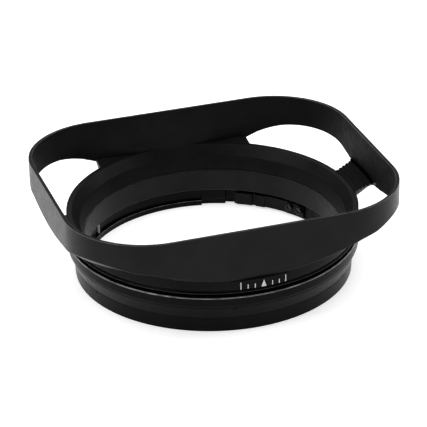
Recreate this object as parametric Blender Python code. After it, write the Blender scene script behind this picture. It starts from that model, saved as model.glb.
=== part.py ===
"""Rectangular bayonet lens hood: a machined hood body on a threaded bayonet ring.

Metres, +Z along the optical axis towards the scene, +X along the long side.
The origin is on the optical axis, in the plane of the ring's rear face.
"""
import math

import bmesh
import bpy
from mathutils import Vector

MM = 0.001

# Driving dimensions, in millimetres
RIM_HALF_LENGTH = 32.6
RIM_HALF_WIDTH = 27.7
RIM_CORNER_RADIUS = 15.6
RIM_TOP_Z = 21.0
RIM_WALL = 0.42
RIM_CHAMFER = 0.08
BAND_ROOT_Z = 9.5
ROOT_WALL = 0.68
ROOT_CORNER_RADIUS = 17.54
SHOULDER_WALL = 0.6

COLLAR_RADIUS = 28.2
COLLAR_BASE_Z = 8.5
FLANGE_Z = 12.77
FLANGE_EDGE_RADIUS = 28.25
LEDGE_Z = 11.0
FUNNEL_TOP_RADIUS = 27.9
BORE_RADIUS = 24.85
BORE_TOP_Z = 7.85
SPIGOT_RADIUS = 26.2
SPIGOT_BASE_Z = 3.5
SEAT_RADIUS = 27.3
SEAT_Z = 8.0

UNDERCUT_SLOPE = 0.636
UNDERCUT_Z = 11.056
UNDERCUT_KNEE = (34.2, 14.87)
UNDERCUT_LIP = (35.35, 15.3)
UNDERCUT_CORNER = (36.6, 16.6)
UNDERCUT_END = (40.2, 20.2)

STEP_COUNT = 6
STEP_RUN = 0.72
STEP_RISE = 0.30
STEP_SLACK = 0.12
STEP_START = 0.2
SHOULDER_ROOT = 0.8
SHOULDER_BASE_Z = 10.1
SHOULDER_REACH = 6.0
SHORT_BRIDGE_FOOT = 3.85
SHORT_BRIDGE_TOP = 5.1
SHORT_BRIDGE_SPREAD = 0.2
LONG_BRIDGE_HALF = 15.9
LONG_BRIDGE_SLOPE = 0.2
SHORT_FILLET = (1.2, 3.5)
LONG_FILLET = (1.0, 1.0)
BRIDGE_STATIONS = 9

RING_REAR_RADIUS = 27.0
RING_WAIST_RADIUS = 27.35
RING_WAIST_Z = 3.0
RING_FLARE_RADIUS = 28.25
RING_FLARE_Z = 5.7
RING_RADIUS = 28.35
RING_TOP_Z = 7.7
RING_CHAMFER = 0.25
RING_LINE_DEPTH = 0.12
THREAD_RADIUS = 26.5
GROOVE_RADIUS = 25.5
GROOVE_TOP_Z = 3.2
LUG_THICKNESS = 1.1
LUG_COUNT = 3
FIRST_LUG_START = 77.0
LUG_SPAN = 63.0

LEAF_START = 25.0
LEAF_END = 61.5
LEAF_INNER_RADIUS = 25.1
LEAF_THICKNESS = 0.22
LEAF_LOW_Z = 0.35
LEAF_HIGH_Z = 2.85
TOOTH_START = 47.0
TOOTH_END = 60.0
TOOTH_NOTCH = (51.0, 53.0)
TOOTH_RADIUS = 24.84
TOOTH_RAMP = 0.8
LEAF_RELIEF = (36.0, 66.0)
LEAF_RELIEF_DEPTH = 0.85
LEAF_HINGE = (25.2, 30.5, 1.6)

SPRING_SCREW_ANGLES = (27.5, 33.5)
SPRING_SCREW_Z = 1.85
SPRING_SCREW_SHANK = 0.45
SPRING_SCREW_HEAD = 0.85
SPRING_SCREW_HEAD_HEIGHT = 0.35
SPRING_SCREW_DEPTH = 1.1
SPRING_SCREW_CHAMFER = 0.08

STOP_PIN_ANGLE = 136.0
STOP_PIN_RADIUS = 0.4
STOP_PIN_CENTRE = 25.55
STOP_PIN_LOW_Z = 0.15
STOP_PIN_CHAMFER = 0.1

LOCK_SCREW_ANGLE = 90.0
LOCK_SCREW_Z = 5.5
LOCK_SCREW_RADIUS = 0.75
LOCK_SCREW_SOCKET = 0.38
LOCK_SCREW_SOCKET_DEPTH = 0.8
LOCK_SCREW_POINT = 0.25
LOCK_SCREW_SINK = 0.25

FIT_GAP = 0.12
SEAT_GAP = 0.15
CUT_MARGIN = 1.0
BLEND_OVERLAP = 0.05
SEGMENTS = 96
CORNER_SEGMENTS = 14

# Finishes: colour, roughness, metallic
FINISHES = {
    "hood_body": ((0.018, 0.018, 0.019, 1.0), 0.42, 0.55),
    "bayonet_ring": ((0.020, 0.020, 0.021, 1.0), 0.36, 0.60),
    "detent_spring": ((0.32, 0.31, 0.29, 1.0), 0.34, 0.95),
    "spring_screw": ((0.06, 0.06, 0.06, 1.0), 0.38, 0.85),
    "stop_pin": ((0.55, 0.55, 0.54, 1.0), 0.28, 1.0),
    "ring_lock_screw": ((0.05, 0.05, 0.05, 1.0), 0.40, 0.85),
}


def clear_scene():
    for old in list(bpy.data.objects):
        bpy.data.objects.remove(old, do_unlink=True)


def finish(name):
    colour, roughness, metallic = FINISHES[name]
    material = bpy.data.materials.get(name) or bpy.data.materials.new(name)
    material.use_nodes = True
    shader = material.node_tree.nodes["Principled BSDF"]
    shader.inputs["Base Color"].default_value = colour
    shader.inputs["Roughness"].default_value = roughness
    shader.inputs["Metallic"].default_value = metallic
    return material


def mesh_object(name, points, faces):
    """An object from points in millimetres, with its faces turned outwards."""
    mesh = bpy.data.meshes.new(name)
    mesh.from_pydata([tuple(c * MM for c in p) for p in points], [], faces)
    shell = bmesh.new()
    shell.from_mesh(mesh)
    bmesh.ops.recalc_face_normals(shell, faces=shell.faces)
    shell.to_mesh(mesh)
    shell.free()
    thing = bpy.data.objects.new(name, mesh)
    bpy.context.scene.collection.objects.link(thing)
    return thing


def stacked_rings(name, rings):
    """A closed skin through equal-length rings; the last ring joins the first."""
    count = len(rings[0])
    points = [p for ring in rings for p in ring]
    faces = []
    for i in range(len(rings)):
        here = i * count
        above = ((i + 1) % len(rings)) * count
        for j in range(count):
            k = (j + 1) % count
            faces.append((here + j, here + k, above + k, above + j))
    return mesh_object(name, points, faces)


def split_into_triangles(thing):
    shell = bmesh.new()
    shell.from_mesh(thing.data)
    bmesh.ops.triangulate(shell, faces=shell.faces)
    shell.to_mesh(thing.data)
    shell.free()


def turned(name, profile):
    """A ring turned about Z from a closed list of (radius, z)."""
    turns = [math.tau * j / SEGMENTS for j in range(SEGMENTS)]
    rings = [[(r * math.cos(a), r * math.sin(a), z) for a in turns] for r, z in profile]
    return stacked_rings(name, rings)


def rim_outline(inset, radius, z):
    """The hood's rounded rectangle, its sides moved inwards by inset, at height z."""
    centre_x = RIM_HALF_LENGTH - inset - radius
    centre_y = RIM_HALF_WIDTH - inset - radius
    points = []
    for quarter, (sx, sy) in enumerate(((1, 1), (-1, 1), (-1, -1), (1, -1))):
        for i in range(CORNER_SEGMENTS + 1):
            a = (quarter + i / CORNER_SEGMENTS) * math.pi / 2
            points.append((sx * centre_x + radius * math.cos(a),
                           sy * centre_y + radius * math.sin(a), z))
    return points


def prism(name, outline, low, high):
    """A flat outline in X and Y, raised from z low to z high."""
    count = len(outline)
    points = [(x, y, low) for x, y in outline] + [(x, y, high) for x, y in outline]
    sides = [(i, (i + 1) % count, count + (i + 1) % count, count + i) for i in range(count)]
    caps = [tuple(range(count)), tuple(range(count, 2 * count))]
    return mesh_object(name, points, sides + caps)


def arc(radius, start, end, steps):
    """Points on a circle about the optical axis, angles in degrees."""
    angles = [math.radians(start + (end - start) * i / steps) for i in range(steps + 1)]
    return [(radius * math.cos(a), radius * math.sin(a)) for a in angles]


def sector(name, inner, outer, start, end, low, high):
    steps = max(4, round(abs(end - start) / 4))
    outline = arc(inner, start, end, steps) + arc(outer, end, start, steps)
    return prism(name, outline, low, high)


def lofted(name, sections):
    """A solid through equal-length cross-sections, with flat ends."""
    count = len(sections[0])
    points = [p for section in sections for p in section]
    faces = [tuple(range(count)), tuple(range(len(points) - count, len(points)))]
    for i in range(len(sections) - 1):
        here = i * count
        for j in range(count):
            k = (j + 1) % count
            faces.append((here + j, here + k, here + count + k))
            faces.append((here + j, here + count + k, here + count + j))
    return mesh_object(name, points, faces)


def rod(name, profile, sides, centre, direction):
    """A turned piece on its own axis from (radius, distance) pairs, ends closed."""
    along = Vector(direction).normalized()
    across = along.orthogonal().normalized()
    third = along.cross(across)
    start = Vector(centre)
    turns = [math.tau * j / sides for j in range(sides)]
    sections = [[tuple(start + along * d + across * (r * math.cos(a)) + third * (r * math.sin(a)))
                 for a in turns] for r, d in profile]
    return lofted(name, sections)


def combine(target, tool, operation):
    """Adds an exact Boolean to target and hides its tool."""
    change = target.modifiers.new(tool.name, "BOOLEAN")
    change.operation = operation
    change.solver = "EXACT"
    change.object = tool
    tool.hide_render = True
    tool.display_type = "WIRE"


def dress(thing, finish_name):
    thing.data.materials.append(finish(finish_name))
    thing.data.shade_smooth()
    thing.data.set_sharp_from_angle(angle=math.radians(28))
    return thing


def polar(radius, degrees, z):
    a = math.radians(degrees)
    return (radius * math.cos(a), radius * math.sin(a), z)


def undercut_height(radius):
    """Height of the turned cone under the band at a radius."""
    return UNDERCUT_Z + UNDERCUT_SLOPE * (radius - COLLAR_RADIUS)


def make_collar():
    """The round middle of the body: spigot, seat, collar, flange and funnel."""
    return turned("hood_body", [
        (BORE_RADIUS, SPIGOT_BASE_Z),
        (SPIGOT_RADIUS, SPIGOT_BASE_Z),
        (SPIGOT_RADIUS, SEAT_Z),
        (SEAT_RADIUS, SEAT_Z),
        (SEAT_RADIUS, COLLAR_BASE_Z),
        (FLANGE_EDGE_RADIUS, COLLAR_BASE_Z),
        (FLANGE_EDGE_RADIUS, FLANGE_Z),
        (FUNNEL_TOP_RADIUS, FLANGE_Z),
        (BORE_RADIUS, BORE_TOP_Z),
    ])


def trim_collar_sides(body):
    """Keeps the collar behind the flat long walls above its ledge."""
    near = RIM_HALF_WIDTH - BLEND_OVERLAP
    far = RING_RADIUS + CUT_MARGIN
    for side in (-1, 1):
        outline = [(-SEAT_RADIUS, side * near), (SEAT_RADIUS, side * near),
                   (SEAT_RADIUS, side * far), (-SEAT_RADIUS, side * far)]
        combine(body, prism(f"collar_side_{side}", outline, LEDGE_Z, RIM_TOP_Z), "DIFFERENCE")


def add_band(body):
    """The thin upright wall, a little thicker towards its root and its inner corners."""
    edge = RIM_CHAMFER
    outside = RIM_CORNER_RADIUS
    inside = RIM_CORNER_RADIUS - RIM_WALL
    band = stacked_rings("band", [
        rim_outline(0, outside, BAND_ROOT_Z),
        rim_outline(0, outside, RIM_TOP_Z - edge),
        rim_outline(edge, outside - edge, RIM_TOP_Z),
        rim_outline(RIM_WALL - edge, inside + edge, RIM_TOP_Z),
        rim_outline(RIM_WALL, inside, RIM_TOP_Z - edge),
        rim_outline(ROOT_WALL, ROOT_CORNER_RADIUS, BAND_ROOT_Z),
    ])
    split_into_triangles(band)
    combine(body, band, "UNION")


def shoulder_root():
    """Start of a shoulder profile, buried in the collar."""
    root = FLANGE_EDGE_RADIUS - SHOULDER_ROOT
    return [(root, SHOULDER_BASE_Z), (root, FLANGE_Z - 0.5 * SHOULDER_ROOT)]


def stepped_shoulder():
    """Profile of the short-side shoulder, with its concentric glare steps."""
    profile = shoulder_root()
    start = FLANGE_EDGE_RADIUS - STEP_START
    for i in range(STEP_COUNT):
        radius = start + i * STEP_RUN
        height = FLANGE_Z + i * STEP_RISE
        profile.append((radius, height + STEP_RISE))
        profile.append((radius + STEP_RUN - STEP_SLACK, height + 0.7 * STEP_RISE))
    profile.append((radius + 2 * STEP_RUN, height + STEP_RISE))
    profile.append((radius + 2 * STEP_RUN, SHOULDER_BASE_Z))
    return profile


def plain_shoulder():
    """Profile of the long-side shoulder, a shallow cone."""
    profile = shoulder_root()
    reach = FLANGE_EDGE_RADIUS + SHOULDER_REACH
    profile.append((FLANGE_EDGE_RADIUS - STEP_START, FLANGE_Z + BLEND_OVERLAP))
    profile.append((reach, FLANGE_Z + LONG_BRIDGE_SLOPE * SHOULDER_REACH))
    profile.append((reach, SHOULDER_BASE_Z))
    return profile


def corner_flare(distance_to_wall, fillet):
    """How much wider a bridge is near the wall, where a window's corner is round."""
    depth, spread = fillet
    inside = min(max(distance_to_wall, 0.0), depth)
    return spread * (1 - math.sqrt(1 - (1 - inside / depth) ** 2))


def stations(start, wall, end, fillet):
    """Places along a bridge, closer together near the wall."""
    bend = wall - fillet[0]
    last = BRIDGE_STATIONS - 1
    turns = [math.pi / 2 * i / last for i in range(BRIDGE_STATIONS)]
    return [start] + [bend + (wall - bend) * math.sin(a) for a in turns] + [end]


def short_bridge_block(side):
    """Keeps the short-side shoulder between two flanks that lean outwards."""
    wall = RIM_HALF_LENGTH - SHOULDER_WALL
    end = wall + 0.5 * SHOULDER_WALL
    sections = []
    for x in stations(FLANGE_EDGE_RADIUS - SHOULDER_ROOT, wall, end, SHORT_FILLET):
        flare = corner_flare(wall - x, SHORT_FILLET)
        foot = SHORT_BRIDGE_FOOT + flare
        top = SHORT_BRIDGE_TOP + SHORT_BRIDGE_SPREAD * (x - FLANGE_EDGE_RADIUS) + 0.6 * flare
        low = undercut_height(x) - STEP_RUN / 2
        high = FLANGE_Z + STEP_RISE / STEP_RUN * (x - FLANGE_EDGE_RADIUS) + 2 * STEP_RISE
        sections.append([(side * x, -foot, low), (side * x, foot, low),
                         (side * x, top, high), (side * x, -top, high)])
    return lofted(f"short_bridge_block_{side}", sections)


def long_bridge_block(side):
    """Keeps the long-side shoulder between two upright ends."""
    wall = RIM_HALF_WIDTH - SHOULDER_WALL
    high = FLANGE_Z + 2 * SHOULDER_ROOT
    sections = []
    for y in stations(wall - 7 * SHOULDER_ROOT, wall, wall + 0.5 * SHOULDER_WALL, LONG_FILLET):
        half = LONG_BRIDGE_HALF + corner_flare(wall - y, LONG_FILLET)
        sections.append([(-half, side * y, BAND_ROOT_Z), (half, side * y, BAND_ROOT_Z),
                         (half, side * y, high), (-half, side * y, high)])
    return lofted(f"long_bridge_block_{side}", sections)


def add_bridges(body):
    """The four shoulders that tie the band to the collar between the windows."""
    kinds = (("short", stepped_shoulder, short_bridge_block),
             ("long", plain_shoulder, long_bridge_block))
    for kind, profile, keeper in kinds:
        for side in (-1, 1):
            shoulder = turned(f"{kind}_shoulder_{side}", profile())
            combine(shoulder, keeper(side), "INTERSECT")
            combine(body, shoulder, "UNION")


def cut_undercut(body):
    """The cone turned away under the band, which opens the corner windows."""
    cone = turned("undercut", [
        (COLLAR_RADIUS, SEAT_Z),
        (UNDERCUT_END[0], SEAT_Z),
        UNDERCUT_END,
        UNDERCUT_CORNER,
        UNDERCUT_LIP,
        UNDERCUT_KNEE,
        (COLLAR_RADIUS, UNDERCUT_Z),
    ])
    combine(body, cone, "DIFFERENCE")


def make_hood_body():
    body = make_collar()
    trim_collar_sides(body)
    add_band(body)
    add_bridges(body)
    cut_undercut(body)
    return dress(body, "hood_body")


def ring_profile():
    line = RING_LINE_DEPTH
    return [
        (BORE_RADIUS, 0),
        (RING_REAR_RADIUS - line, 0),
        (RING_REAR_RADIUS, line),
        (RING_WAIST_RADIUS, RING_WAIST_Z),
        (RING_FLARE_RADIUS, RING_FLARE_Z - line),
        (RING_FLARE_RADIUS - line, RING_FLARE_Z),
        (RING_FLARE_RADIUS, RING_FLARE_Z + line),
        (RING_RADIUS, RING_FLARE_Z + 3 * line),
        (RING_RADIUS, RING_TOP_Z - RING_CHAMFER),
        (RING_RADIUS - RING_CHAMFER, RING_TOP_Z),
        (THREAD_RADIUS, RING_TOP_Z),
        (THREAD_RADIUS, GROOVE_TOP_Z),
        (GROOVE_RADIUS, GROOVE_TOP_Z),
        (GROOVE_RADIUS, LUG_THICKNESS),
        (BORE_RADIUS, LUG_THICKNESS),
    ]


def cut_lug_gaps(ring):
    """Leaves three lugs on the ring's rear lip."""
    pitch = 360 / LUG_COUNT
    for i in range(LUG_COUNT):
        start = FIRST_LUG_START + LUG_SPAN + i * pitch
        gap = sector(f"lug_gap_{i}", BORE_RADIUS - CUT_MARGIN, GROOVE_RADIUS + BLEND_OVERLAP,
                     start, start + pitch - LUG_SPAN, -CUT_MARGIN, LUG_THICKNESS + BLEND_OVERLAP)
        combine(ring, gap, "DIFFERENCE")


def radial_hole(name, radius, start_radius, angle, z, depth):
    """A round cutter that points outwards from the bore."""
    profile = [(radius + FIT_GAP, -CUT_MARGIN), (radius + FIT_GAP, depth)]
    return rod(name, profile, 16, polar(start_radius, angle, z), polar(1, angle, 0))


def cut_ring_details(ring):
    """Relief behind the leaf spring, and the holes for pin and screws."""
    relief = sector("leaf_relief", GROOVE_RADIUS - CUT_MARGIN, GROOVE_RADIUS + LEAF_RELIEF_DEPTH,
                    LEAF_RELIEF[0], LEAF_RELIEF[1], -CUT_MARGIN, GROOVE_TOP_Z - 2 * BLEND_OVERLAP)
    combine(ring, relief, "DIFFERENCE")
    pin_bore = STOP_PIN_RADIUS + FIT_GAP
    pin_hole = rod("pin_hole", [(pin_bore, -CUT_MARGIN), (pin_bore, GROOVE_TOP_Z + CUT_MARGIN / 2)],
                   16, polar(STOP_PIN_CENTRE, STOP_PIN_ANGLE, 0), (0, 0, 1))
    combine(ring, pin_hole, "DIFFERENCE")
    for i, angle in enumerate(SPRING_SCREW_ANGLES):
        hole = radial_hole(f"spring_screw_hole_{i}", SPRING_SCREW_SHANK, GROOVE_RADIUS, angle,
                           SPRING_SCREW_Z, SPRING_SCREW_DEPTH + FIT_GAP)
        combine(ring, hole, "DIFFERENCE")
    lock_hole = radial_hole("lock_screw_hole", LOCK_SCREW_RADIUS, THREAD_RADIUS, LOCK_SCREW_ANGLE,
                            LOCK_SCREW_Z, RING_RADIUS - THREAD_RADIUS + CUT_MARGIN)
    combine(ring, lock_hole, "DIFFERENCE")


def make_bayonet_ring():
    ring = turned("bayonet_ring", ring_profile())
    cut_lug_gaps(ring)
    cut_ring_details(ring)
    return dress(ring, "bayonet_ring")


def place_origin(thing, point):
    """Moves an object's origin to a point, leaving its mesh where it is."""
    place = Vector(point) * MM
    for vertex in thing.data.vertices:
        vertex.co -= place
    thing.location = place


def leaf_outline():
    """The leaf seen along the optical axis, with a notched tooth near its free end."""
    first, second = TOOTH_NOTCH
    ramp = TOOTH_RAMP
    outline = arc(LEAF_INNER_RADIUS, LEAF_START, TOOTH_START - ramp, 10)
    outline += arc(TOOTH_RADIUS, TOOTH_START, first, 2)
    outline += arc(LEAF_INNER_RADIUS, first + ramp / 2, second - ramp / 2, 1)
    outline += arc(TOOTH_RADIUS, second, TOOTH_END, 3)
    outline += arc(LEAF_INNER_RADIUS, TOOTH_END + ramp, LEAF_END, 1)
    outline += arc(LEAF_INNER_RADIUS + LEAF_THICKNESS, LEAF_END, LEAF_START, 14)
    return outline


def make_detent_spring():
    """A leaf bent along the groove; its origin is where it starts to bend."""
    leaf = prism("detent_spring", leaf_outline(), LEAF_LOW_Z, LEAF_HIGH_Z)
    place_origin(leaf, polar(*LEAF_HINGE))
    for i, angle in enumerate(SPRING_SCREW_ANGLES):
        hole = radial_hole(f"leaf_hole_{i}", SPRING_SCREW_SHANK, GROOVE_RADIUS, angle,
                           SPRING_SCREW_Z, CUT_MARGIN)
        combine(leaf, hole, "DIFFERENCE")
    return dress(leaf, "detent_spring")


def make_spring_screws():
    """Two cheese-head screws that hold the leaf against the groove wall."""
    head_foot = LEAF_INNER_RADIUS - FIT_GAP - GROOVE_RADIUS
    head_top = head_foot - SPRING_SCREW_HEAD_HEIGHT
    edge = SPRING_SCREW_CHAMFER
    profile = [
        (SPRING_SCREW_HEAD - edge, head_top),
        (SPRING_SCREW_HEAD, head_top + edge),
        (SPRING_SCREW_HEAD, head_foot),
        (SPRING_SCREW_SHANK, head_foot),
        (SPRING_SCREW_SHANK, SPRING_SCREW_DEPTH),
    ]
    for i, angle in enumerate(SPRING_SCREW_ANGLES):
        centre = polar(GROOVE_RADIUS, angle, SPRING_SCREW_Z)
        screw = rod(f"spring_screw_{i + 1}", profile, 16, centre, polar(1, angle, 0))
        dress(screw, "spring_screw")


def make_stop_pin():
    """An axial pin that stops the hood's turn on the lens."""
    edge = STOP_PIN_CHAMFER
    low = STOP_PIN_LOW_Z
    high = GROOVE_TOP_Z - edge
    profile = [
        (STOP_PIN_RADIUS - edge, low),
        (STOP_PIN_RADIUS, low + edge),
        (STOP_PIN_RADIUS, high - edge),
        (STOP_PIN_RADIUS - edge, high),
    ]
    pin = rod("stop_pin", profile, 16, polar(STOP_PIN_CENTRE, STOP_PIN_ANGLE, 0), (0, 0, 1))
    return dress(pin, "stop_pin")


def make_ring_lock_screw():
    """A socket grub screw through the ring's wall, bearing on the spigot."""
    inner = SPIGOT_RADIUS + SEAT_GAP
    length = RING_FLARE_RADIUS - LOCK_SCREW_SINK - inner
    edge = LOCK_SCREW_SINK / 2
    profile = [
        (LOCK_SCREW_RADIUS - LOCK_SCREW_POINT, 0),
        (LOCK_SCREW_RADIUS, LOCK_SCREW_POINT),
        (LOCK_SCREW_RADIUS, length - edge),
        (LOCK_SCREW_RADIUS - edge, length),
    ]
    centre = polar(inner, LOCK_SCREW_ANGLE, LOCK_SCREW_Z)
    outward = polar(1, LOCK_SCREW_ANGLE, 0)
    screw = rod("ring_lock_screw", profile, 16, centre, outward)
    mouth = [(LOCK_SCREW_SOCKET, length - LOCK_SCREW_SOCKET_DEPTH),
             (LOCK_SCREW_SOCKET, length + CUT_MARGIN)]
    combine(screw, rod("lock_screw_socket", mouth, 6, centre, outward), "DIFFERENCE")
    return dress(screw, "ring_lock_screw")


def main():
    clear_scene()
    make_hood_body()
    make_bayonet_ring()
    make_detent_spring()
    make_spring_screws()
    make_stop_pin()
    make_ring_lock_screw()


main()
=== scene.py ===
"""Looks of the rectangular bayonet lens hood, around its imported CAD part."""
import math

import bmesh
import bpy
from mathutils import Matrix, Vector


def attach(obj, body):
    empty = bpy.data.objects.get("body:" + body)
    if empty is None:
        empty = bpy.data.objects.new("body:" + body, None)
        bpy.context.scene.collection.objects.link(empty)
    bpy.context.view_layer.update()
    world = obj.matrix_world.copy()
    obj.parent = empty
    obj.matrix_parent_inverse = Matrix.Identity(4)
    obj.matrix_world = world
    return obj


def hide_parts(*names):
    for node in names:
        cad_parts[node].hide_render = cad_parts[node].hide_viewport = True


MM = 0.001
TAU = math.tau

# Shape, in millimetres: the driving sizes of the CAD part, with its finer details
RIM_X, RIM_Y, RIM_Z = 32.6, 27.7, 21.0
OUTER_CORNER = 15.6
RIM_WALL, SHORT_WALL_EXTRA = 0.42, 0.30
ROOT_Z, ROOT_WALL, ROOT_CORNER = 9.5, 0.68, 17.54
SHOULDER_WALL = 0.6
RIM_ROUND, FOOT_ROUND, INNER_FOOT_ROUND, BRIDGED_ROUND = 0.09, 0.30, 0.08, 0.003
LONG_BRIDGE_ZONE, SHORT_BRIDGE_ZONE = 0.9, 1.2
COLLAR_R, COLLAR_Z = 28.25, 8.5
LEDGE_Z, FLANGE_Z = 11.0, 12.77
MOUTH_R, THROAT_R, THROAT_Z = 27.2, 25.75, 10.8
BORE_R, BORE_Z = 24.85, 7.85
BORE_LEDGE, BORE_LEDGE_RISE = 0.24, 0.03
SPIGOT_R, SPIGOT_Z = 26.2, 3.5
SEAT_R, SEAT_Z = 27.3, 8.0
COVE = ((0.0, 0.14), (0.26, 0.34), (0.20, 0.55), (0.07, 0.75), (0.0, 0.95))  # depth, height
UNDERCUT = ((20.0, 5.841), (34.2, 14.87), (35.35, 15.3), (36.6, 16.6), (38.0, 18.0))
STEP_START, STEP_RUN, STEP_SLACK, STEP_RISE, STEP_COUNT = 28.05, 0.72, 0.12, 0.30, 6
SHORT_FOOT, SHORT_TOP, SHORT_SPREAD = 3.85, 5.1, 0.2
LONG_HALF, LONG_SLOPE = 15.9, 0.2
SHORT_FILLET, LONG_FILLET = (1.2, 3.5), (1.0, 1.0)
BURIED, BURIED_RISE = 0.25, 0.15
GROOVE_R, THREAD_R = 25.5, 26.5
LUG_Z, LUG_COUNT, FIRST_LUG, LUG_SPAN = 1.1, 3, 77.0, 63.0
RELIEF = (36.0, 66.0)
RELIEF_R, RELIEF_Z = 26.35, 3.1
RING_TOP, RING_TOP_ROUND = 7.7, 0.20
RING_SKIN = (  # radius and height: two fine turned lines, at the waist and where the flare ends
    (27.08, 1.8), (27.25, 2.86), (27.16, 2.95), (27.30, 3.04), (27.72, 4.5),
    (28.24, 5.52), (28.13, 5.62), (28.29, 5.72), (28.35, 6.1),
)
LOCK_HOLE_R, LOCK_HOLE_ANGLE, LOCK_HOLE_Z = 0.87, 90.0, 5.5
SCREW_ANGLES, SCREW_Z = (27.5, 33.5), 1.85
SCREW_PROFILE = (  # radius, distance outwards
    (0.02, -0.87), (0.70, -0.87), (0.80, -0.82), (0.85, -0.74), (0.85, -0.52),
    (0.45, -0.52), (0.45, 1.05),
)
SLOT_FLOOR, SLOT_DEPTH, SLOT_HALF_LENGTH, SLOT_HALF_WIDTH, SLOT_TURN = -0.72, 0.5, 1.1, 0.11, 0.6
INDEX_ANGLE, INDEX_Z, INDEX_PAINT, INDEX_SUNK = -89.0, 9.9, 0.012, 0.08
INDEX_HALF_HEIGHT, TICK_TOP, TICK_HALF_WIDTH, POINTER_HALF_WIDTH = 0.7, 0.15, 0.085, 0.5
TICK_START, TICK_STEP, TICK_COUNT = 0.35, 1.35, 3

# Fineness
TURN_STEPS = 288
CORNER_STEPS = 28
LONG_WALL_STEPS, SHORT_WALL_STEPS = 48, 24
ROUND_STEPS = 3
CORNER_POINTS = ROUND_STEPS + 1
SHARP_DEGREES, RING_SHARP_DEGREES, PLATE_SHARP_DEGREES = 32, 24, 20

# Material slots of the larger pieces; the second one is a painted highlight for rounded edges
BODY, HIGHLIGHT_EDGE, INSIDE = 0, 1, 2

# Camera
CAMERA_AZIMUTH = -17.99748
CAMERA_ELEVATION = 27.08721
CAMERA_ROLL = -1.18173
CAMERA_DISTANCE = 431.212
CAMERA_RISE = 9.516
CAMERA_LENS = 185.466

# Setting
FLOOR_SIZE, FLOOR_GLOW = 3.0, 0.6
WORLD_BACK, WORLD_FRONT = 0.42, 0.10
LIGHTS = (  # name, place, size, power
    ("left_softbox", (-0.55, -0.10, 0.45), (0.5, 0.5), 1.0),
    ("right_softbox", (0.60, -0.05, 0.40), (0.4, 0.5), 0.8),
    ("top_softbox", (0.0, 0.25, 0.75), (1.2, 1.0), 5.5),
)
LIGHT_AIM = (0, 0, 0.01)

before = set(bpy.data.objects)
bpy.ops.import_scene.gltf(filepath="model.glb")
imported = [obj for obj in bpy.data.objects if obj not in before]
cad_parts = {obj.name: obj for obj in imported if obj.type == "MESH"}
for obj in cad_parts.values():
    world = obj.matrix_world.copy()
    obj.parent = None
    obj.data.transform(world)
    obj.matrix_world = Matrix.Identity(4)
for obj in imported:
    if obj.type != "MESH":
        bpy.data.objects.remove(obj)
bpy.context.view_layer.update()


def polar(radius, degrees, z):
    """A point round the optical axis."""
    a = math.radians(degrees)
    return (radius * math.cos(a), radius * math.sin(a), z)


# ---------------------------------------------------------------- materials

class Graph:
    """A short way to lay out one material's nodes."""

    def __init__(self, name):
        self.material = bpy.data.materials.new(name)
        self.material.use_nodes = True
        self.tree = self.material.node_tree
        self.shader = self.tree.nodes["Principled BSDF"]

    def node(self, kind, **values):
        made = self.tree.nodes.new(kind)
        for key, value in values.items():
            setattr(made, key, value)
        return made

    def link(self, source, target):
        self.tree.links.new(source, target)

    def place(self, scale):
        """Object coordinates in millimetres, stretched by scale."""
        where = self.node("ShaderNodeTexCoord")
        mapping = self.node("ShaderNodeMapping")
        mapping.inputs["Scale"].default_value = [s / MM for s in scale]
        self.link(where.outputs["Object"], mapping.inputs["Vector"])
        return mapping.outputs["Vector"]

    def noise(self, scale, detail=3.0, place=(1, 1, 1)):
        texture = self.node("ShaderNodeTexNoise")
        texture.inputs["Scale"].default_value = scale
        texture.inputs["Detail"].default_value = detail
        self.link(self.place(place), texture.inputs["Vector"])
        return texture.outputs["Fac"]

    def ramp(self, factor, low, high, start=0.35, end=0.65):
        ramp = self.node("ShaderNodeValToRGB")
        ramp.color_ramp.elements[0].position = start
        ramp.color_ramp.elements[1].position = end
        ramp.color_ramp.elements[0].color = low
        ramp.color_ramp.elements[1].color = high
        self.link(factor, ramp.inputs["Fac"])
        return ramp.outputs["Color"]

    def range(self, factor, low, high, start=0.3, end=0.7):
        change = self.node("ShaderNodeMapRange")
        for key, value in (("From Min", start), ("From Max", end), ("To Min", low), ("To Max", high)):
            change.inputs[key].default_value = value
        self.link(factor, change.inputs["Value"])
        return change.outputs["Result"]

    def radius(self):
        """Distance from the optical axis, in millimetres."""
        flat = self.node("ShaderNodeVectorMath", operation="LENGTH")
        self.link(self.place((1, 1, 0)), flat.inputs[0])
        return flat.outputs["Value"]

    def turned_marks(self, fineness):
        """Noise that changes with radius and height only, as a lathe leaves it."""
        split = self.node("ShaderNodeSeparateXYZ")
        self.link(self.place((1, 1, fineness)), split.inputs[0])
        spread = self.node("ShaderNodeMath", operation="MULTIPLY")
        spread.inputs[1].default_value = fineness
        self.link(self.radius(), spread.inputs[0])
        join = self.node("ShaderNodeCombineXYZ")
        self.link(spread.outputs[0], join.inputs[0])
        self.link(split.outputs["Z"], join.inputs[1])
        marks = self.node("ShaderNodeTexNoise", noise_dimensions="2D")
        marks.inputs["Scale"].default_value = 1.0
        marks.inputs["Detail"].default_value = 3.0
        self.link(join.outputs[0], marks.inputs["Vector"])
        return marks.outputs["Fac"]

    def bump(self, height, strength, distance, below=None):
        bump = self.node("ShaderNodeBump")
        bump.inputs["Strength"].default_value = strength
        bump.inputs["Distance"].default_value = distance * MM
        self.link(height, bump.inputs["Height"])
        if below is not None:
            self.link(below, bump.inputs["Normal"])
        return bump.outputs["Normal"]


def grey(value, warmth=0.0):
    """A grey that warmth moves towards red."""
    return (value * (1 + warmth), value, value * (1 - warmth), 1.0)


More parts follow.
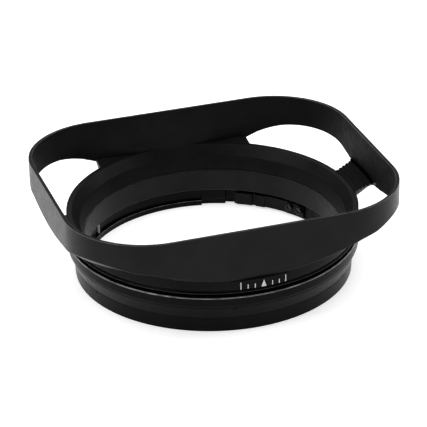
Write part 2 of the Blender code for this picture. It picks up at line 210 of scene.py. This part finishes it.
def anodised(name, low, high, rough, turned=0.0, specular=0.3):
    """Dyed anodised aluminium: a fine satin grain, a little blotching, turned marks if asked."""
    g = Graph(name)
    g.shader.inputs["Specular IOR Level"].default_value = specular
    g.shader.inputs["Metallic"].default_value = 0.0
    cloud = g.noise(0.16, 4.0)
    g.link(g.ramp(cloud, grey(low, 0.02), grey(high, 0.04)), g.shader.inputs["Base Color"])
    grain = g.noise(9.0, 2.0)
    g.link(g.range(g.noise(0.9, 5.0), rough[0], rough[1]), g.shader.inputs["Roughness"])
    normal = g.bump(grain, 0.22, 0.006)
    if turned:
        normal = g.bump(g.turned_marks(14.0), turned, 0.012, normal)
    g.link(normal, g.shader.inputs["Normal"])
    return g.material


def painted_edge_highlight(name, low, high):
    """Painted highlight for rounded edges: a lighter, part metallic colour that stands in for the light
    they catch.
    """
    g = Graph(name)
    g.shader.inputs["Metallic"].default_value = 0.55
    g.shader.inputs["Specular IOR Level"].default_value = 0.5
    g.link(g.ramp(g.noise(0.55, 6.0), grey(low, 0.02), grey(high, 0.04)), g.shader.inputs["Base Color"])
    g.link(g.range(g.noise(2.4, 3.0), 0.26, 0.42), g.shader.inputs["Roughness"])
    g.link(g.bump(g.noise(7.0, 2.0), 0.25, 0.006), g.shader.inputs["Normal"])
    return g.material


def steel(name, low, high, rough, along=(1, 1, 1)):
    """Machine-finished steel with fine directional scratches."""
    g = Graph(name)
    g.shader.inputs["Metallic"].default_value = 0.95
    scratches = g.noise(4.0, 5.0, along)
    g.link(g.ramp(scratches, grey(low, 0.03), grey(high, 0.04)), g.shader.inputs["Base Color"])
    g.link(g.range(scratches, rough[0], rough[1]), g.shader.inputs["Roughness"])
    g.link(g.bump(scratches, 0.15, 0.004), g.shader.inputs["Normal"])
    return g.material


def paint(name, low, high):
    """White engraving filler, slightly chalky and uneven."""
    g = Graph(name)
    g.shader.inputs["Specular IOR Level"].default_value = 0.35
    g.link(g.ramp(g.noise(3.0, 4.0), grey(low, 0.01), grey(high, 0.015)), g.shader.inputs["Base Color"])
    g.link(g.range(g.noise(5.0, 2.0), 0.5, 0.7), g.shader.inputs["Roughness"])
    g.link(g.bump(g.noise(8.0, 2.0), 0.3, 0.01), g.shader.inputs["Normal"])
    return g.material


# ------------------------------------------------------------------- meshes

def rounded(corners):
    """Rounds a closed outline of (u, v, radius); every corner gives CORNER_POINTS points.

    Returns the points, and the material slot of each side from one point to the next."""
    points, marks = [], []
    count = len(corners)
    for i, (u, v, radius) in enumerate(corners):
        here = Vector((u, v))
        before = Vector(corners[i - 1][:2]) - here
        after = Vector(corners[(i + 1) % count][:2]) - here
        reach = min(before.length, after.length) * 0.45
        before.normalize()
        after.normalize()
        half = before.angle(after, math.pi) / 2
        tangent = min(radius / max(math.tan(half), 1e-4), reach, radius * 2.5)
        start, end = here + before * tangent, here + after * tangent
        for k in range(CORNER_POINTS):
            t = k / ROUND_STEPS
            p = start * (1 - t) ** 2 + here * (2 * t * (1 - t)) + end * t ** 2
            points.append((p.x, p.y))
            # Rounded corners wider than 0.03 take the painted edge highlight slot.
            marks.append(HIGHLIGHT_EDGE if k < ROUND_STEPS and radius > 0.03 else BODY)
    return points, marks


def smooth(piece, sharp):
    """Smooth shading that keeps the edges over sharp degrees."""
    piece.data.shade_smooth()
    piece.data.set_sharp_from_angle(angle=math.radians(sharp))
    weigh = piece.modifiers.new("weighted normals", "WEIGHTED_NORMAL")
    weigh.keep_sharp = True


def finish_mesh(piece, materials, sharp):
    """Cleans a new mesh, and gives it its materials and shading."""
    shell = bmesh.new()
    shell.from_mesh(piece.data)
    bmesh.ops.remove_doubles(shell, verts=shell.verts, dist=0.0005 * MM)
    bmesh.ops.dissolve_degenerate(shell, edges=shell.edges, dist=0.0004 * MM)
    bmesh.ops.recalc_face_normals(shell, faces=shell.faces)
    shell.to_mesh(piece.data)
    shell.free()
    for material in materials:
        piece.data.materials.append(material)
    smooth(piece, sharp)
    return piece


def make_piece(name, points, faces, marks, materials, sharp=SHARP_DEGREES):
    """A piece from points in millimetres and faces, with a material slot for every face."""
    mesh = bpy.data.meshes.new(name)
    mesh.from_pydata([tuple(c * MM for c in p) for p in points], [], faces)
    mesh.polygons.foreach_set("material_index", marks)
    piece = bpy.data.objects.new(name, mesh)
    bpy.context.scene.collection.objects.link(piece)
    return finish_mesh(piece, materials, sharp)


def looped(name, sections, marks, materials, closed=True, sharp=SHARP_DEGREES):
    """A skin through equal closed sections; the last joins the first, or the ends are capped."""
    count = len(sections[0])
    points = [p for section in sections for p in section]
    faces, kinds = [], []
    spans = len(sections) if closed else len(sections) - 1
    for i in range(spans):
        here = i * count
        there = ((i + 1) % len(sections)) * count
        for j in range(count):
            k = (j + 1) % count
            faces.append((here + j, here + k, there + k, there + j))
            kinds.append(marks[j])
    if not closed:
        faces += [tuple(range(count)), tuple(range(len(points) - count, len(points)))]
        kinds += [BODY, BODY]
    return make_piece(name, points, faces, kinds, materials, sharp)


def revolved(name, profile_at, angles, materials, finish=None, sharp=SHARP_DEGREES):
    """Turned about the optical axis; profile_at(degrees) gives the corners at that angle.

    finish gives the material slot of a corner, by number, and of the flat that follows it."""
    finish = finish or {}
    sections = []
    for angle in angles:
        outline, marks = rounded(profile_at(angle))
        sections.append([polar(r, angle, z) for r, z in outline])
    marks = [finish.get(j // CORNER_POINTS, mark) for j, mark in enumerate(marks)]
    return looped(name, sections, marks, materials, sharp=sharp)


def turned_rod(name, profile, sides, centre, direction, materials):
    """A turned piece on its own axis from (radius, distance) pairs, with closed ends."""
    along = Vector(direction).normalized()
    across = along.orthogonal().normalized()
    third = along.cross(across)
    turn = [TAU * j / sides for j in range(sides)]
    sections = [[tuple(Vector(centre) + along * d + across * (r * math.cos(a))
                       + third * (r * math.sin(a))) for a in turn] for r, d in profile]
    return looped(name, sections, [BODY] * sides, materials, closed=False)


def cut(piece, tool):
    """Cuts tool out of piece for good, and removes the tool."""
    piece.modifiers.clear()
    change = piece.modifiers.new("cut", "BOOLEAN")
    change.operation = "DIFFERENCE"
    change.solver = "EXACT"
    change.object = tool
    graph = bpy.context.evaluated_depsgraph_get()
    graph.update()
    mesh = bpy.data.meshes.new_from_object(piece.evaluated_get(graph))
    piece.modifiers.clear()
    piece.data = mesh
    bpy.data.objects.remove(tool)
    smooth(piece, SHARP_DEGREES)
    return piece


def between(points, value):
    """Height of a broken line at value."""
    for (a, low), (b, high) in zip(points, points[1:]):
        if value <= b:
            return low + (high - low) * (value - a) / (b - a)
    return points[-1][1]


def undercut(x, y):
    """Height of the surface turned from behind, which ends the band and the bridges."""
    return between(UNDERCUT, math.hypot(x, y))


# ---------------------------------------------------------------- hood body

def corner_flare(distance, fillet):
    """How much wider a bridge is near the wall, where a window's corner is round."""
    depth, spread = fillet
    inside = min(max(distance, 0.0), depth)
    return spread * (1 - math.sqrt(1 - (1 - inside / depth) ** 2))


def loop_points(inset, radius, extra=0.0):
    """Points round a rounded rectangle, the same count whatever the size.

    extra moves the short walls in further than the long ones."""
    cx, cy = RIM_X - inset - extra - radius, RIM_Y - inset - radius
    corners = ((cx, cy), (-cx, cy), (-cx, -cy), (cx, -cy))
    points = []
    for q, (x, y) in enumerate(corners):
        for i in range(CORNER_STEPS + 1):
            a = (q + i / CORNER_STEPS) * math.pi / 2
            points.append((x + radius * math.cos(a), y + radius * math.sin(a)))
        count = LONG_WALL_STEPS if q % 2 == 0 else SHORT_WALL_STEPS
        (x0, y0), (nx, ny) = points[-1], corners[(q + 1) % 4]
        outwards = ((0, 1), (-1, 0), (0, -1), (1, 0))[q]
        x1, y1 = nx + outwards[0] * radius, ny + outwards[1] * radius
        points += [(x0 + (x1 - x0) * i / count, y0 + (y1 - y0) * i / count)
                   for i in range(1, count)]
    return points


def wall_foot(top, root):
    """Where the sloping inner face between two points of the wall meets the undercut."""
    low, high = 0.0, 1.0
    for _ in range(30):
        t = (low + high) / 2
        x, y = top[0] + (root[0] - top[0]) * t, top[1] + (root[1] - top[1]) * t
        z = RIM_Z + (ROOT_Z - RIM_Z) * t
        if z > undercut(x, y):
            low = t
        else:
            high = t
    return x, y, z


def make_band(materials):
    """The thin wall, its foot following the turned undercut."""
    outer = loop_points(0.0, OUTER_CORNER)
    inner = loop_points(RIM_WALL, OUTER_CORNER - RIM_WALL, SHORT_WALL_EXTRA)
    roots = loop_points(ROOT_WALL, ROOT_CORNER, SHORT_WALL_EXTRA)
    sections = []
    for (xo, yo), top, root in zip(outer, inner, roots):
        along = Vector((top[0] - xo, top[1] - yo))
        width = along.length
        along.normalize()
        xi, yi, foot = wall_foot(top, root)
        depth = (xi - xo) * along.x + (yi - yo) * along.y
        on_long = abs(xi) < LONG_HALF + LONG_FILLET[1] and abs(yi) > RIM_Y - LONG_BRIDGE_ZONE
        on_short = abs(yi) < SHORT_FOOT + SHORT_FILLET[1] and abs(xi) > RIM_X - SHORT_BRIDGE_ZONE
        outline, marks = rounded([
            (0.0, undercut(xo, yo), FOOT_ROUND),
            (0.0, RIM_Z, RIM_ROUND),
            (width, RIM_Z, RIM_ROUND),
            (depth, foot, BRIDGED_ROUND if on_long or on_short else INNER_FOOT_ROUND),
        ])
        sections.append([(xo + along.x * u, yo + along.y * u, z) for u, z in outline])
    inner_face = 3 * CORNER_POINTS - 1
    marks[:ROUND_STEPS] = marks[inner_face + 1:inner_face + CORNER_POINTS] = [BODY] * ROUND_STEPS
    marks[inner_face] = INSIDE
    return looped("hood_band", sections, marks, materials)


def make_collar(materials):
    """Spigot, seat, collar, flange and funnel, flattened behind the long walls."""
    def profile(angle):
        side = abs(math.sin(math.radians(angle)))
        top = min(COLLAR_R, (RIM_Y - 0.05) / max(side, 0.1))
        ledge = 0.08 if top < COLLAR_R - 0.02 else 0.0
        cove = [(COLLAR_R - depth, COLLAR_Z + height, 0.02) for depth, height in COVE]
        return [
            (BORE_R, SPIGOT_Z, 0.05),
            (SPIGOT_R, SPIGOT_Z, 0.05),
            (SPIGOT_R, SEAT_Z, 0.01),
            (SEAT_R, SEAT_Z, 0.02),
            (SEAT_R, COLLAR_Z, 0.01),
            (COLLAR_R, COLLAR_Z, 0.06),
            *cove,
            (COLLAR_R, LEDGE_Z - ledge, 0.02),
            (top, LEDGE_Z + 0.06, 0.01),
            (top, FLANGE_Z, 0.08),
            (MOUTH_R, FLANGE_Z - 0.02, 0.25),
            (THROAT_R, THROAT_Z, 0.30),
            (BORE_R + BORE_LEDGE, BORE_Z + BORE_LEDGE_RISE, 0.0),
            (BORE_R, BORE_Z, 0.06),
        ]
    angles = [360 * i / TURN_STEPS for i in range(TURN_STEPS)]
    flange, mouth, throat, ledge, bore = range(13, 18)
    # The bore ledge takes the painted edge highlight, on its rounding and its flat alike.
    finish = {flange: INSIDE, mouth: INSIDE, throat: INSIDE, ledge: HIGHLIGHT_EDGE, bore: INSIDE}
    return revolved("hood_collar", profile, angles, materials, finish=finish)


def plate(name, rows, columns, place, top, bottom, materials):
    """A closed web between two surfaces; place(v, s, level) gives x and y on each level."""
    grid = {}
    points = []
    for level, height in ((0, bottom), (1, top)):
        for v in range(rows):
            for s in range(columns):
                x, y = place(v, s, level)
                grid[level, v, s] = len(points)
                points.append((x, y, height(x, y, v)))
    faces = []
    for v in range(rows - 1):
        for s in range(columns - 1):
            for level in (0, 1):
                faces.append([grid[level, v, s], grid[level, v, s + 1],
                              grid[level, v + 1, s + 1], grid[level, v + 1, s]])
    border = [(0, s) for s in range(columns)] + [(v, columns - 1) for v in range(1, rows)]
    border += [(rows - 1, s) for s in range(columns - 2, -1, -1)]
    border += [(v, 0) for v in range(rows - 2, 0, -1)]
    for (v, s), (w, t) in zip(border, border[1:] + border[:1]):
        faces.append([grid[0, v, s], grid[0, w, t], grid[1, w, t], grid[1, v, s]])
    return make_piece(name, points, faces, [BODY] * len(faces), materials, PLATE_SHARP_DEGREES)


def make_long_bridge(side, materials):
    """The shallow cone that ties a long wall to the collar."""
    wall = RIM_Y - SHOULDER_WALL
    depths = [0.0, 0.35, 0.6, 0.75, 0.86, 0.94, 1.0]
    rows, columns = len(depths) + 1, 65

    def place(v, s, level):
        t = 2 * s / (columns - 1) - 1
        x = LONG_HALF * t
        start = min(math.sqrt((COLLAR_R - 0.3) ** 2 - x * x), wall + 0.05)
        y = start + (wall + 0.1 - start) * depths[min(v, rows - 2)]
        x = t * (LONG_HALF + corner_flare(wall - y, LONG_FILLET))
        if v == rows - 1:
            y = wall + BURIED
        return x, side * y

    def top(x, y, v):
        return FLANGE_Z + 0.02 + LONG_SLOPE * (math.hypot(x, y) - COLLAR_R)

    def bottom(x, y, v):
        return undercut(x, y) + (BURIED_RISE if v == rows - 1 else 0.0)

    return plate(f"hood_long_bridge_{side + 2}", rows, columns, place, top, bottom, materials)


def make_short_bridge(side, materials):
    """The stepped shoulder that ties a short wall to the collar."""
    wall = RIM_X - SHOULDER_WALL
    radii = [COLLAR_R - 0.8, STEP_START - 0.1]
    heights = [FLANGE_Z - 0.3, FLANGE_Z - 0.1]
    for i in range(STEP_COUNT):
        radius = STEP_START + i * STEP_RUN
        level = FLANGE_Z + i * STEP_RISE
        radii += [radius, radius + STEP_RUN - STEP_SLACK]
        heights += [level + STEP_RISE, level + 0.7 * STEP_RISE]
    fillet_rows = 14
    radii[-1:] = [wall - 0.8 + 0.11 * i for i in range(fillet_rows)]
    heights[-1:] = [heights[-2]] * fillet_rows
    rows, columns = len(radii) + 2, 21

    def place(v, s, level):
        t = 2 * s / (columns - 1) - 1
        r = radii[min(v, len(radii) - 1)]
        y = t * SHORT_TOP
        x = min(math.sqrt(r * r - y * y), wall)
        if v >= rows - 2:
            x = wall
        flare = corner_flare(wall - x, SHORT_FILLET)
        half = SHORT_FOOT + flare
        if level:
            half = SHORT_TOP + SHORT_SPREAD * (x - COLLAR_R) + 0.6 * flare
        if v == rows - 1:
            x = wall + BURIED
        return side * x, t * half

    def top(x, y, v):
        return heights[min(v, len(heights) - 1)]

    def bottom(x, y, v):
        return undercut(x, y) + (BURIED_RISE if v == rows - 1 else 0.0)

    return plate(f"hood_short_bridge_{side + 2}", rows, columns, place, top, bottom, materials)


def make_index_mark(material):
    """A generic painted index: a pointer with short ticks on both sides."""
    foot = -INDEX_HALF_HEIGHT
    shapes = [[(-POINTER_HALF_WIDTH, foot), (POINTER_HALF_WIDTH, foot), (0.0, INDEX_HALF_HEIGHT)]]
    for i in range(1, TICK_COUNT + 1):
        for side in (-1, 1):
            middle = side * (TICK_START + TICK_STEP * i)
            left, right = middle - TICK_HALF_WIDTH, middle + TICK_HALF_WIDTH
            top = INDEX_HALF_HEIGHT if i == TICK_COUNT else TICK_TOP
            shapes.append([(left, foot), (right, foot), (right, top), (left, top)])
    for number, shape in enumerate(shapes):
        rings = [[polar(radius, INDEX_ANGLE + math.degrees(u / COLLAR_R), INDEX_Z + v)
                  for u, v in shape] for radius in (COLLAR_R - INDEX_SUNK, COLLAR_R + INDEX_PAINT)]
        mark = looped(f"index_mark_{number + 1}", rings, [BODY] * len(shape), [material],
                      closed=False)
        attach(mark, "hood")


# ------------------------------------------------------------- bayonet ring

def make_ring(materials):
    """Flared outer skin with fine turned lines, thread, groove and lugs."""
    def profile(angle):
        turn = (angle - FIRST_LUG) % (360 / LUG_COUNT)
        back = RELIEF_R if RELIEF[0] < angle < RELIEF[1] else GROOVE_R
        lug = BORE_R if turn < LUG_SPAN else back
        return [
            (lug, 0.0, 0.05),
            (27.0, 0.0, 0.03),
            *((radius, height, 0.0) for radius, height in RING_SKIN),
            (28.35, RING_TOP, RING_TOP_ROUND),
            (THREAD_R, RING_TOP, 0.02),
            (THREAD_R, RELIEF_Z + 0.2, 0.0),
            (back, RELIEF_Z + 0.1, 0.02),
            (back, LUG_Z + 0.02, 0.0),
            (lug - 0.002, LUG_Z, 0.05),
        ]
    angles = {360 * i / TURN_STEPS for i in range(TURN_STEPS)}
    breaks, half_step = list(RELIEF), 0.02
    for i in range(LUG_COUNT):
        start = FIRST_LUG + i * 360 / LUG_COUNT
        breaks += [start % 360, (start + LUG_SPAN) % 360]
    for stop in breaks:
        angles |= {stop - half_step, stop + half_step}
        angles -= {stop}
    ring = revolved("bayonet_ring_turned", profile, sorted(angles), materials,
                    sharp=RING_SHARP_DEGREES)
    hole = turned_rod("lock_hole", [(LOCK_HOLE_R, -1.0), (LOCK_HOLE_R, 3.0)], 48,
                      polar(26.6, LOCK_HOLE_ANGLE, LOCK_HOLE_Z),
                      polar(1, LOCK_HOLE_ANGLE, 0), [materials[BODY]])
    return cut(ring, hole)


def make_spring_screw(number, angle, material):
    """A slotted cheese-head screw, with its head towards the bore."""
    centre, outward = polar(GROOVE_R, angle, SCREW_Z), Vector(polar(1, angle, 0))
    screw = turned_rod(f"spring_screw_fine_{number}", SCREW_PROFILE, 40, centre, outward, [material])
    across, turn = Vector((-outward.y, outward.x, 0)), SLOT_TURN * number
    tilt = across * math.cos(turn) + Vector((0, 0, 1)) * math.sin(turn)
    width = outward.cross(tilt)
    base = Vector(centre) + outward * SLOT_FLOOR
    corners = [base + tilt * (a * SLOT_HALF_LENGTH) + width * (b * SLOT_HALF_WIDTH)
               for a, b in ((-1, -1), (1, -1), (1, 1), (-1, 1))]
    slot = looped("slot_tool", [[tuple(p + outward * d) for p in corners]
                                for d in (0.0, -SLOT_DEPTH)],
                  [BODY] * len(corners), [material], closed=False)
    screw = cut(screw, slot)
    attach(screw, "hood")
    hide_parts(f"spring_screw_{number}")


# -------------------------------------------------------------- the setting

def make_camera():
    """The view of the photo, aimed at the optical axis."""
    a, e, r = (math.radians(v) for v in (CAMERA_AZIMUTH, CAMERA_ELEVATION, CAMERA_ROLL))
    back = Vector((math.sin(a) * math.cos(e), -math.cos(a) * math.cos(e), math.sin(e)))
    right = Vector((math.cos(a), math.sin(a), 0))
    up = back.cross(right)
    right, up = (right * math.cos(r) + up * math.sin(r), up * math.cos(r) - right * math.sin(r))
    data = bpy.data.cameras.new("camera")
    data.lens = CAMERA_LENS
    data.sensor_width = 36
    data.clip_start = 0.01
    data.clip_end = 20
    camera = bpy.data.objects.new("camera", data)
    bpy.context.scene.collection.objects.link(camera)
    place = Matrix((right, up, back)).transposed().to_4x4()
    place.translation = (up * CAMERA_RISE + back * CAMERA_DISTANCE) * MM
    camera.matrix_world = place
    bpy.context.scene.camera = camera


def make_floor():
    """A pale table top, level with the ring's rear face."""
    mesh = bpy.data.meshes.new("floor")
    shell = bmesh.new()
    bmesh.ops.create_grid(shell, x_segments=2, y_segments=2, size=FLOOR_SIZE)
    shell.to_mesh(mesh)
    shell.free()
    floor = bpy.data.objects.new("floor", mesh)
    floor.location = (0, 0, -0.00002)
    bpy.context.scene.collection.objects.link(floor)
    g = Graph("pale_floor")
    g.link(g.ramp(g.noise(0.01, 2.0), grey(0.90), grey(0.92)), g.shader.inputs["Base Color"])
    g.shader.inputs["Roughness"].default_value = 0.9
    g.shader.inputs["Emission Color"].default_value = (1, 1, 1, 1)
    g.shader.inputs["Emission Strength"].default_value = FLOOR_GLOW
    g.shader.inputs["Specular IOR Level"].default_value = 0.1
    mesh.materials.append(g.material)


def area_light(name, place, size, power):
    """A soft rectangular light, aimed at the object."""
    data = bpy.data.lights.new(name, "AREA")
    data.shape = "RECTANGLE"
    data.size, data.size_y = size
    data.energy = power
    light = bpy.data.objects.new(name, data)
    light.location = place
    aim = Vector(LIGHT_AIM) - Vector(place)
    light.rotation_euler = aim.to_track_quat("-Z", "Y").to_euler()
    bpy.context.scene.collection.objects.link(light)


def make_lights():
    """Softboxes, and surroundings that are lighter behind the object than in front."""
    bpy.context.scene.view_settings.view_transform = "Standard"
    world = bpy.data.worlds.new("studio")
    bpy.context.scene.world = world
    world.use_nodes = True
    nodes, links = world.node_tree.nodes, world.node_tree.links
    where = nodes.new("ShaderNodeTexCoord")
    split = nodes.new("ShaderNodeSeparateXYZ")
    ramp = nodes.new("ShaderNodeMapRange")
    for key, value in (("From Min", -1.0), ("From Max", 0.2),
                       ("To Min", WORLD_FRONT), ("To Max", WORLD_BACK)):
        ramp.inputs[key].default_value = value
    links.new(where.outputs["Generated"], split.inputs[0])
    links.new(split.outputs["Y"], ramp.inputs["Value"])
    links.new(ramp.outputs["Result"], nodes["Background"].inputs["Strength"])
    nodes["Background"].inputs["Color"].default_value = (1, 1, 1, 1)
    for light in LIGHTS:
        area_light(*light)


def build():
    """Every visible piece, with its material, body, slot and the nodes that it replaces."""
    body = anodised("black_anodised_satin", 0.0050, 0.0080, (0.28, 0.38), specular=0.095)
    inside = anodised("black_matt_inside", 0.0050, 0.0085, (0.60, 0.75), specular=0.12)
    # Painted shade: the collar's copy of the black is darker and reflects less, standing in for the
    # shade low under the band; its turned marks are real.
    collar_turned_painted_shade = anodised("black_anodised_turned_painted_shade", 0.0015, 0.0035, (0.28, 0.38),
                           turned=0.35, specular=0.06)
    funnel = anodised("black_turned_inside", 0.0055, 0.0095, (0.34, 0.46),
                      turned=0.5, specular=0.095)
    # Painted edge highlight for the hood's rounded edges and its bore ledge.
    body_edge_highlight = painted_edge_highlight("black_anodised_worn_edge", 0.03, 0.08)
    # Painted shade: the ring's copy is darker still and reflects less, standing in for the shade down
    # by the floor; its turned marks are real.
    ring_turned_painted_shade = anodised("ring_anodised_turned_painted_shade", 0.0012, 0.0030, (0.26, 0.36),
                           turned=0.45, specular=0.055)
    # Painted edge highlight for the ring's rounded edges, brighter than the hood's.
    ring_edge_highlight = painted_edge_highlight("ring_worn_edge", 0.10, 0.30)
    leaf = steel("blued_spring_steel", 0.005, 0.011, (0.36, 0.48), (1, 1, 0.15))
    screw = steel("blackened_screw_steel", 0.012, 0.03, (0.3, 0.45))
    pin = steel("dull_pin_steel", 0.10, 0.18, (0.25, 0.40), (1, 1, 0.2))
    filler = paint("white_engraving_filler", 0.55, 0.75)

    hood = [make_band([body, body_edge_highlight, inside]), make_collar([collar_turned_painted_shade, body_edge_highlight, funnel])]
    for side in (-1, 1):
        hood.append(make_long_bridge(side, [funnel]))
        hood.append(make_short_bridge(side, [funnel]))
    for piece in hood:
        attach(piece, "hood")
        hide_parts("hood_body")
    make_index_mark(filler)

    ring = make_ring([ring_turned_painted_shade, ring_edge_highlight])
    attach(ring, "hood")
    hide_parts("bayonet_ring")

    for number, angle in enumerate(SCREW_ANGLES, start=1):
        make_spring_screw(number, angle, screw)
    for node, material in (("detent_spring", leaf), ("stop_pin", pin),
                           ("ring_lock_screw", screw)):
        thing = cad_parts[node]
        thing.data.materials.clear()
        thing.data.materials.append(material)


build()
make_camera()
make_floor()
make_lights()
bpy.context.view_layer.update()
